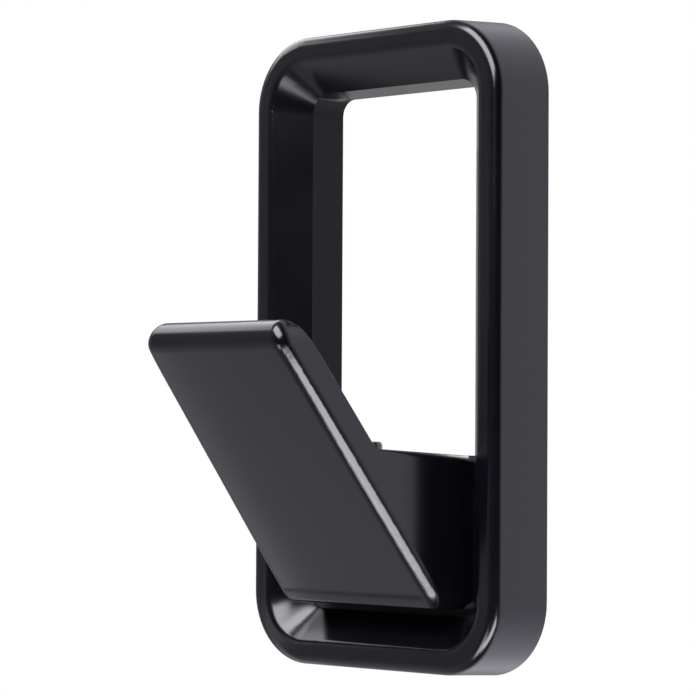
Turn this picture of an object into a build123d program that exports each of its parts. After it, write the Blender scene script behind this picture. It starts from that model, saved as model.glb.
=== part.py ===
"""Wall coat hook: a bevelled ring frame and a leaning hook tongue, cast as one piece."""
from build123d import *
import os
from math import cos, radians, sin, tan

# Frame: +X to the right, -Y out of the wall, +Z up. The back face lies on Y = 0, and the origin is
# midway between the fixing holes. Heights are measured from there.

# Ring frame, millimetres and degrees
frame_height = 100.0
frame_width = 54.3
frame_depth = 11.0
frame_centre_height = 28.0
outer_corner_radius = 11.7
outer_wall_draft = 2.8
bar_width = 9.6
opening_corner_radius = 2.7
opening_wall_draft = 4.4
rim_width = 3.6
bevel_depth = 4.8
rim_outer_radius = 1.6
rim_inner_radius = 1.6

# Hook tongue
tongue_root_width = 36.0
tongue_draft = 3.4
tongue_root_corner_radius = 2.8
tongue_top_corner_radius = 4.6
tongue_top_margin = 0.4
tongue_lean = 38.3
tongue_thickness = 5.2
tongue_foot_height = -11.65
tongue_foot_reach = 12.88
tongue_top_height = 31.3
tongue_top_slope = 22.0
tongue_nose_radius = 2.8
tongue_edge_radius = 1.9
tongue_tip_back_radius = 6.5
tongue_back_edge_radius = 0.35

# Ledge between the tongue and the wall
ledge_height = 11.25
ledge_slope = 3.1
ledge_root_radius = 3.0
ledge_edge_radius_front = 0.4
ledge_edge_radius_back = 1.4

# Low round stud on the ledge, behind the tongue
stud_diameter = 5.0
stud_reach = 11.6
stud_height = 1.72
stud_edge_radius = 0.6

# Tapped fixing holes in the back, M4 tapping drill
fixing_hole_radius = 1.65
fixing_hole_depth = 9.0
fixing_hole_spacing = 16.0

# Room by which cutting shapes run past the solid
overrun = 5.0


def front_offset(angle, depth):
    """Sideways shift of a wall with this draft over this depth."""
    return depth * tan(radians(angle))


# Insets from the outline on the back face: rim's inner edge, foot of the bevel, opening
rim_inset = front_offset(outer_wall_draft, frame_depth) + rim_width
bevel_floor = frame_depth - bevel_depth
bevel_inset = bar_width - front_offset(opening_wall_draft, bevel_floor)


# Back face's plane, with its middle at the middle of the frame
frame_plane = Plane((0, 0, frame_centre_height), x_dir=(1, 0, 0), z_dir=(0, -1, 0))


def inset_outline(inset, corner_radius):
    """Rounded rectangle that runs parallel to the frame's outline, this far inside it."""
    return RectangleRounded(frame_width - 2 * inset, frame_height - 2 * inset, corner_radius)


# Side profile of the tongue: Y by the height on its leaning front and back faces
lean_run = tan(radians(tongue_lean))
tongue_run = tongue_thickness / cos(radians(tongue_lean))


def front_y(z):
    return -tongue_foot_reach - (z - tongue_foot_height) * lean_run


def back_y(z):
    return front_y(z) + tongue_run


ledge_rise = tan(radians(ledge_slope))


def ledge_z(y):
    return ledge_height - y * ledge_rise


# Corner where the ledge meets the back of the tongue
root_y = back_y(ledge_height) / (1 - lean_run * ledge_rise)
root_z = ledge_z(root_y)

# Sharp corners of the tip, before it is rounded: the top falls away to the back from the nose
nose_angle = radians(90 - tongue_lean - tongue_top_slope)
nose_height = (
    tongue_top_height
    - tongue_nose_radius * (1 + sin(radians(tongue_lean)))
    + tongue_nose_radius / tan(nose_angle / 2) * cos(radians(tongue_lean))
)
top_fall = tan(radians(tongue_top_slope))
tip_back_height = nose_height - tongue_run * top_fall / (1 - lean_run * top_fall)


def top_z(y):
    return nose_height - (y - front_y(nose_height)) * top_fall


# Block that the tongue is cut from: widest at the wall, narrowing towards the front
tip_reach = -front_y(tongue_top_height)
block_top = tongue_top_height + tongue_top_margin + front_offset(tongue_draft, tip_reach)
block_bottom = tongue_foot_height - front_offset(tongue_draft, tongue_foot_reach)
block_reach = -front_y(nose_height) + overrun

with BuildPart() as tongue:
    with BuildSketch(Plane.XZ):
        with Locations((0, (block_top + block_bottom) / 2)):
            Rectangle(tongue_root_width, block_top - block_bottom)
        upper = vertices().group_by(Axis.Y)[-1]
        fillet(upper, tongue_top_corner_radius + front_offset(tongue_draft, tip_reach))
        lower = vertices().group_by(Axis.Y)[0]
        fillet(lower, tongue_root_corner_radius)
    extrude(amount=block_reach, taper=tongue_draft)

    # Leaning front face and rounded nose
    below = block_bottom - overrun
    with BuildSketch(Plane.YZ):
        with BuildLine():
            Polyline(
                (front_y(below), below),
                (front_y(nose_height), nose_height),
                (overrun, top_z(overrun)),
                (overrun, below),
                close=True,
            )
        make_face()
        fillet(vertices().sort_by(Axis.X)[0], tongue_nose_radius)
    extrude(amount=tongue_root_width, both=True, mode=Mode.INTERSECT)

    # Soft edge round the front face, over the nose and along the top
    facing = Axis((0, 0, 0), (0, -cos(radians(tongue_lean)), -sin(radians(tongue_lean))))
    front_face = faces().filter_by(facing).sort_by(facing)[-1]
    fillet(front_face.edges().sort_by(Axis.Z)[:-1], tongue_edge_radius)

    # Back of the tongue, running down into the ledge
    far = -block_reach - overrun
    with BuildSketch(Plane.YZ):
        with BuildLine():
            Polyline(
                (far, below),
                (far, top_z(far)),
                (back_y(tip_back_height), tip_back_height),
                (root_y, root_z),
                (overrun, ledge_z(overrun)),
                (overrun, below),
                close=True,
            )
        make_face()
        root = vertices().sort_by(Axis.X)[3]
        fillet(root, ledge_root_radius)
        tip = vertices().sort_by(Axis.X)[2]
        fillet(tip, tongue_tip_back_radius)
    extrude(amount=tongue_root_width, both=True, mode=Mode.INTERSECT)

    # Eased edges down both sides of the tongue's back
    back_face = faces().filter_by(facing).sort_by(facing)[0]
    fillet(back_face.edges().filter_by(Axis.X, reverse=True), tongue_back_edge_radius)

with BuildPart() as hook:
    # Ring with drafted outer and inner walls
    with BuildSketch(frame_plane):
        inset_outline(0, outer_corner_radius)
    extrude(amount=frame_depth, taper=outer_wall_draft)
    with BuildSketch(frame_plane):
        inset_outline(bar_width, opening_corner_radius)
    extrude(amount=frame_depth, taper=-opening_wall_draft, mode=Mode.SUBTRACT)

    # Bevel from the rim down to the inner wall
    with BuildSketch(frame_plane.offset(bevel_floor)):
        inset_outline(bevel_inset, opening_corner_radius + bar_width - bevel_inset)
    with BuildSketch(frame_plane.offset(frame_depth)):
        inset_outline(rim_inset, outer_corner_radius - rim_inset)
    loft(mode=Mode.SUBTRACT)

    rim = faces().filter_by(Axis.Y).sort_by(Axis.Y)[0]
    fillet(rim.outer_wire().edges(), rim_outer_radius)
    rim = faces().filter_by(Axis.Y).sort_by(Axis.Y)[0]
    fillet(rim.inner_wires()[0].edges(), rim_inner_radius)

    # Web that closes the opening below the ledge, let into the middle of the bars
    web_bottom = frame_centre_height - (frame_height - bar_width) / 2
    with BuildSketch(Plane.YZ):
        with BuildLine():
            Polyline(
                (0, ledge_z(0)),
                (-bevel_floor, ledge_z(-bevel_floor)),
                (-bevel_floor, web_bottom),
                (0, web_bottom),
                close=True,
            )
        make_face()
    extrude(amount=(frame_width - bar_width) / 2, both=True)
    add(tongue.part)

    # Rounding of the ledge's side edges, growing from the tongue to the wall
    for side in (-1, 1):
        for depth, radius in (
            (bevel_floor, ledge_edge_radius_back),
            (-root_y, ledge_edge_radius_front),
        ):
            edge_x = tongue_root_width / 2 - front_offset(tongue_draft, depth)
            edge_z = ledge_z(-depth)
            with BuildSketch(Plane.XZ.offset(depth)):
                with BuildLine():
                    Polyline(
                        (side * (edge_x - radius), edge_z),
                        (side * (edge_x - radius), edge_z + radius),
                        (side * (edge_x + radius), edge_z + radius),
                        (side * (edge_x + radius), edge_z - radius),
                        (side * edge_x, edge_z - radius),
                    )
                    RadiusArc(
                        (side * edge_x, edge_z - radius),
                        (side * (edge_x - radius), edge_z),
                        -side * radius,
                    )
                make_face()
        loft(ruled=True, mode=Mode.SUBTRACT)

    # Low stud, standing on the ledge
    stud_top_height = ledge_z(-stud_reach) + stud_height
    with BuildSketch(Plane.XY.offset(stud_top_height)):
        with Locations((0, -stud_reach)):
            Circle(stud_diameter / 2)
    extrude(amount=-stud_height - stud_diameter * ledge_rise)
    stud_top = faces().filter_by(Axis.Z).filter_by(lambda f: abs(f.center().Z - stud_top_height) < 1e-6)
    fillet(stud_top.edges(), stud_edge_radius)

    # Blind fixing holes in the back
    with Locations(Plane.XZ):
        with GridLocations(fixing_hole_spacing, 0, 2, 1):
            Cylinder(
                fixing_hole_radius,
                fixing_hole_depth,
                align=(Align.CENTER, Align.CENTER, Align.MIN),
                mode=Mode.SUBTRACT,
            )

hook.part.label = "coat_hook"
os.makedirs("parts", exist_ok=True)
export_step(hook.part, "parts/coat_hook.step")
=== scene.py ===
"""Wall coat hook in satin black paint, with softboxes for its highlights, in front of plain white."""
from math import cos, radians, sin

import bpy
from mathutils import Matrix, Vector

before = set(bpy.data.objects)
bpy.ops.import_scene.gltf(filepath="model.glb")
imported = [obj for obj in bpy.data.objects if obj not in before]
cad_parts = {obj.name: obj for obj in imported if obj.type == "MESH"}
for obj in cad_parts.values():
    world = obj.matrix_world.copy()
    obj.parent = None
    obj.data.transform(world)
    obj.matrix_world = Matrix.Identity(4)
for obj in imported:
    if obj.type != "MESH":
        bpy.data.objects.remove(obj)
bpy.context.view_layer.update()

# Camera: right of the hook and a little below its middle, with a long lens. Angles are in degrees.
CAMERA_PLACE = Vector((0.341024, -0.344930, 0.015263))
CAMERA_AZIMUTH = 46.0
CAMERA_TILT = -1.53
CAMERA_ROLL = 0.31
CAMERA_CLIP_START = 0.01
IMAGE_PIXELS = 696
FOCAL_PIXELS = 3093.0
SENSOR_MM = 36.0

WHITE = (1.0, 1.0, 1.0, 1.0)
BLACK = (0.0, 0.0, 0.0, 1.0)

# Points of the hook that the softboxes face, in metres
HOOK_MIDDLE = Vector((0.0, -0.015, 0.028))
TONGUE_TIP = Vector((-0.010, -0.037, 0.020))
RIM_CORNER = Vector((0.025, -0.011, -0.020))
TONGUE_SIDE = Vector((-0.017, -0.0284, 0.008))

# Softboxes. Radiance 1 is white, which takes this many watts for each square metre of softbox.
SOFTBOX_WATTS = 4.0
SOFTBOXES = {
    "softbox_above": {
        "aim": HOOK_MIDDLE, "toward": (0.12, -0.66, 0.74), "along": (0.9, -0.4, -0.29), "away": 0.6,
        "size": (0.74, 0.40), "radiance": 8.1,
    },
    "softbox_below": {
        "aim": HOOK_MIDDLE, "toward": (0.649, -0.282, -0.707), "along": (0.76, 0.50, 0.42), "away": 0.36,
        "size": (0.30, 0.120), "radiance": 8.9,
    },
    "softbox_corner": {
        "aim": RIM_CORNER, "toward": (0.13, -0.64, -0.76), "along": (1.0, 0.0, 0.0), "away": 0.1,
        "size": (0.04, 0.03), "radiance": 6.5,
    },
    "softbox_front": {
        "aim": HOOK_MIDDLE, "toward": (0.15, -0.75, -0.64), "along": (1.0, 0.0, 0.0), "away": 0.5,
        "size": (0.18, 0.16), "radiance": 4.0,
    },
    "softbox_left": {
        "aim": TONGUE_TIP, "toward": (-0.72, 0.03, 0.69), "along": (0.5, 1.0, 0.0), "away": 0.2,
        "size": (0.2, 0.07), "radiance": 2.7,
    },
    "softbox_side": {
        "aim": TONGUE_SIDE, "toward": (-0.75, -0.14, -0.65), "along": (0.0, 0.62, -0.785), "away": 0.035,
        "size": (0.08, 0.005), "radiance": 0.55,
    },
}

# Cards close behind the opening, and a black flag below the tongue's foot. Only the gloss shows them.
# They are painted reflections: the dim cards glow in place of a shaded wall behind the opening,
# the low card paints a highlight on the ledge's edge, and the black flag is painted shade.
PAINTED_REFLECTION_CARDS = {
    # Painted shade: dim glowing cards that the inner walls mirror as a shaded wall behind the opening
    "painted_shade_card_left": {"middle": (-0.0107, 0.001, 0.0400), "size": (0.0132, 0.0560), "radiance": 0.39},
    "painted_shade_card_top": {"middle": (0.0066, 0.001, 0.0636), "size": (0.0214, 0.0092), "radiance": 0.42},
    "painted_shade_card_right": {"middle": (0.0106, 0.001, 0.0406), "size": (0.0134, 0.0368), "radiance": 0.3},
    # Painted highlight: a bright glowing card that the ledge's edge mirrors as a light strip
    "painted_highlight_card_low": {"middle": (0.0140, 0.001, 0.0176), "size": (0.0066, 0.0092), "radiance": 4.0},
    # Painted shade: a black sheet that the strip under the tongue's foot mirrors as darkness
    "painted_shade_flag_foot": {"middle": (-0.0060, -0.015, -0.0136), "size": (0.0360, 0.0026), "radiance": 0.0},
}

# Surround, as the gloss mirrors it. Each gradient goes by one axis of the direction: over its span, the
# value runs from the first end to the second.
BEHIND_BY_X = {"span": (-0.72, -0.3), "ends": (0.3, 1.08)}
BEHIND_ABOVE_BY_Z = {"span": (0.1, 0.9), "ends": (1.0, 1.16)}
BEHIND_BELOW_BY_Z = {"span": (-0.9, -0.1), "ends": (0.6, 0.0)}
FRONT_BY_X = {"span": (-0.9, 0.3), "ends": (0.34, 0.02)}
FRONT_BY_Z = {"span": (-0.8, -0.1), "ends": (1.79, 1.0)}
FRONT_TO_BEHIND_BY_Y = {"span": (0.05, 0.6), "ends": (0.0, 1.0)}
SURROUND_FILL = 0.3
SURROUND_TINT = (1.0, 0.985, 1.07, 1.0)

# Floor
FLOOR_DROP = 0.42
FLOOR_RADIUS = 0.9
FLOOR_FADE = {"span": (0.35 * FLOOR_RADIUS, 0.95 * FLOOR_RADIUS), "ends": (1.0, 0.0)}
FLOOR_SIDES = 96
FLOOR_COLOUR = (0.86, 0.86, 0.85, 1.0)
FLOOR_ROUGHNESS = 0.9

# Satin black paint
PAINT_DARK = (0.0010, 0.0009, 0.0019, 1.0)
PAINT_LIGHT = (0.0016, 0.0014, 0.0027, 1.0)
PAINT_GLOSS_TINT = (0.99, 0.975, 1.05, 1.0)
PAINT_ROUGHNESS = {"span": (0.3, 0.7), "ends": (0.19, 0.22)}
PAINT_IOR = 1.5
MOTTLE = {"size": 0.012, "detail": 3.0}
PEEL = {"size": 0.0007, "detail": 1.0}
PEEL_HEIGHT = 0.0000025
PEEL_STRENGTH = 0.5


def node(tree, kind, **settings):
    """Add a shader node, set its named properties and return it."""
    made = tree.nodes.new(kind)
    for name, value in settings.items():
        setattr(made, name, value)
    return made


def gradient(tree, source, span, ends):
    """Take source smoothly from the first end to the second as it crosses the span."""
    made = node(tree, "ShaderNodeMapRange", interpolation_type="SMOOTHSTEP")
    tree.links.new(source, made.inputs["Value"])
    made.inputs["From Min"].default_value, made.inputs["From Max"].default_value = span
    made.inputs["To Min"].default_value, made.inputs["To Max"].default_value = ends
    return made.outputs["Result"]


def combined(tree, operation, first, second):
    """Join two values by a Math node."""
    made = node(tree, "ShaderNodeMath", operation=operation)
    tree.links.new(first, made.inputs[0])
    tree.links.new(second, made.inputs[1])
    return made.outputs["Value"]


def blended(tree, kind, factor, first, second):
    """Go from first to second by a factor. Each is a socket or a plain value."""
    made = node(tree, "ShaderNodeMix", data_type=kind)
    tree.links.new(factor, made.inputs["Factor"])
    for side, value in (("A", first), ("B", second)):
        if isinstance(value, bpy.types.NodeSocket):
            tree.links.new(value, made.inputs[side])
        else:
            made.inputs[side].default_value = value
    return made.outputs["Result"]


def noise(tree, place, size, detail):
    """A noise texture whose features are about size metres across."""
    made = node(tree, "ShaderNodeTexNoise")
    tree.links.new(place, made.inputs["Vector"])
    made.inputs["Scale"].default_value = 1.0 / size
    made.inputs["Detail"].default_value = detail
    return made.outputs["Fac"]


def satin_black_paint():
    """Thin baked paint on a casting: nearly black, with a soft gloss and a faint orange-peel grain."""
    material = bpy.data.materials.new("satin_black_paint")
    material.use_nodes = True
    tree = material.node_tree
    shader = tree.nodes["Principled BSDF"]
    place = node(tree, "ShaderNodeTexCoord").outputs["Object"]
    mottle = noise(tree, place, **MOTTLE)
    peel = noise(tree, place, **PEEL)

    tree.links.new(blended(tree, "RGBA", mottle, PAINT_DARK, PAINT_LIGHT), shader.inputs["Base Color"])
    tree.links.new(gradient(tree, mottle, **PAINT_ROUGHNESS), shader.inputs["Roughness"])
    shader.inputs["IOR"].default_value = PAINT_IOR
    shader.inputs["Specular Tint"].default_value = PAINT_GLOSS_TINT

    bump = node(tree, "ShaderNodeBump")
    bump.inputs["Strength"].default_value = PEEL_STRENGTH
    bump.inputs["Distance"].default_value = PEEL_HEIGHT
    tree.links.new(peel, bump.inputs["Height"])
    tree.links.new(bump.outputs["Normal"], shader.inputs["Normal"])
    return material


def add_camera():
    """The photograph's camera: azimuth is measured round to the right from straight in front."""
    turn, tilt, roll = radians(CAMERA_AZIMUTH), radians(CAMERA_TILT), radians(CAMERA_ROLL)
    back = Vector((sin(turn) * cos(tilt), -cos(turn) * cos(tilt), sin(tilt)))
    level = Vector((cos(turn), sin(turn), 0.0))
    upright = back.cross(level)
    right = level * cos(roll) + upright * sin(roll)
    up = upright * cos(roll) - level * sin(roll)

    lens = bpy.data.cameras.new("camera")
    lens.sensor_width = SENSOR_MM
    lens.lens = SENSOR_MM * FOCAL_PIXELS / IMAGE_PIXELS
    lens.clip_start = CAMERA_CLIP_START
    camera = bpy.data.objects.new("camera", lens)
    axes = Matrix((right, up, back)).transposed()
    camera.matrix_world = Matrix.Translation(CAMERA_PLACE) @ axes.to_4x4()
    bpy.context.scene.collection.objects.link(camera)
    bpy.context.scene.camera = camera


def add_softbox(name, aim, toward, along, away, size, radiance):
    """A softbox that faces a point, its first side along a direction. The camera doesn't see it."""
    lamp = bpy.data.lights.new(name, "AREA")
    lamp.shape = "RECTANGLE"
    lamp.size, lamp.size_y = size
    lamp.energy = SOFTBOX_WATTS * size[0] * size[1] * radiance
    box = bpy.data.objects.new(name, lamp)
    outward = Vector(toward).normalized()
    side = outward.cross(Vector(along)).normalized()
    axes = Matrix((side.cross(outward), side, outward)).transposed()
    box.matrix_world = Matrix.Translation(aim + outward * away) @ axes.to_4x4()
    box.visible_camera = False
    bpy.context.scene.collection.objects.link(box)


def add_surround():
    """White behind the hook and a dim room in front of it. The picture's background is white all round."""
    world = bpy.data.worlds.new("studio")
    world.use_nodes = True
    tree = world.node_tree
    axes = node(tree, "ShaderNodeSeparateXYZ")
    tree.links.new(node(tree, "ShaderNodeTexCoord").outputs["Generated"], axes.inputs["Vector"])
    x, y, z = axes.outputs

    above = gradient(tree, z, **BEHIND_ABOVE_BY_Z)
    below = gradient(tree, z, **BEHIND_BELOW_BY_Z)
    height = combined(tree, "ADD", above, below)
    behind = combined(tree, "MULTIPLY", gradient(tree, x, **BEHIND_BY_X), height)
    front = combined(tree, "MULTIPLY", gradient(tree, x, **FRONT_BY_X), gradient(tree, z, **FRONT_BY_Z))
    room = blended(tree, "FLOAT", gradient(tree, y, **FRONT_TO_BEHIND_BY_Y), front, behind)

    ray = node(tree, "ShaderNodeLightPath").outputs
    seen = combined(tree, "MAXIMUM", ray["Is Camera Ray"], ray["Is Transmission Ray"])
    lit = blended(tree, "FLOAT", ray["Is Glossy Ray"], SURROUND_FILL, room)
    background = tree.nodes["Background"]
    tree.links.new(blended(tree, "RGBA", seen, SURROUND_TINT, WHITE), background.inputs["Color"])
    tree.links.new(blended(tree, "FLOAT", seen, lit, 1.0), background.inputs["Strength"])
    bpy.context.scene.world = world


def add_floor():
    """A round pale floor that fades out into the white at its rim."""
    material = bpy.data.materials.new("pale_floor")
    material.use_nodes = True
    tree = material.node_tree
    shader = tree.nodes["Principled BSDF"]
    shader.inputs["Base Color"].default_value = FLOOR_COLOUR
    shader.inputs["Roughness"].default_value = FLOOR_ROUGHNESS
    reach = node(tree, "ShaderNodeVectorMath", operation="LENGTH")
    tree.links.new(node(tree, "ShaderNodeTexCoord").outputs["Object"], reach.inputs["Vector"])
    tree.links.new(gradient(tree, reach.outputs["Value"], **FLOOR_FADE), shader.inputs["Alpha"])

    bpy.ops.mesh.primitive_circle_add(vertices=FLOOR_SIDES, radius=FLOOR_RADIUS, fill_type="NGON")
    floor = bpy.context.object
    floor.name = "floor"
    floor.location.z = -FLOOR_DROP
    floor.data.materials.append(material)
    floor.visible_glossy = False


def add_painted_reflection_card(name, middle, size, radiance):
    """A small upright card close to the hook, which only shows in the hook's gloss: a painted reflection
    of light or shade.
    """
    material = bpy.data.materials.new(name)
    material.use_nodes = True
    shader = material.node_tree.nodes["Principled BSDF"]
    shader.inputs["Base Color"].default_value = BLACK
    # The card's glow is painted light, seen only as a reflection in the gloss
    shader.inputs["Emission Color"].default_value = WHITE
    shader.inputs["Emission Strength"].default_value = radiance

    bpy.ops.mesh.primitive_plane_add(size=1.0)
    card = bpy.context.object
    card.name = name
    card.scale = size + (1.0,)
    card.rotation_euler.x = radians(90.0)
    card.location = middle
    card.data.materials.append(material)
    card.visible_camera = False
    card.visible_diffuse = False
    card.visible_shadow = False


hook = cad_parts["coat_hook"]
hook.data.materials.clear()
hook.data.materials.append(satin_black_paint())

add_camera()
for softbox, setting in SOFTBOXES.items():
    add_softbox(softbox, **setting)
add_surround()
add_floor()
for card, setting in PAINTED_REFLECTION_CARDS.items():
    add_painted_reflection_card(card, **setting)

bpy.context.scene.view_settings.view_transform = "Standard"
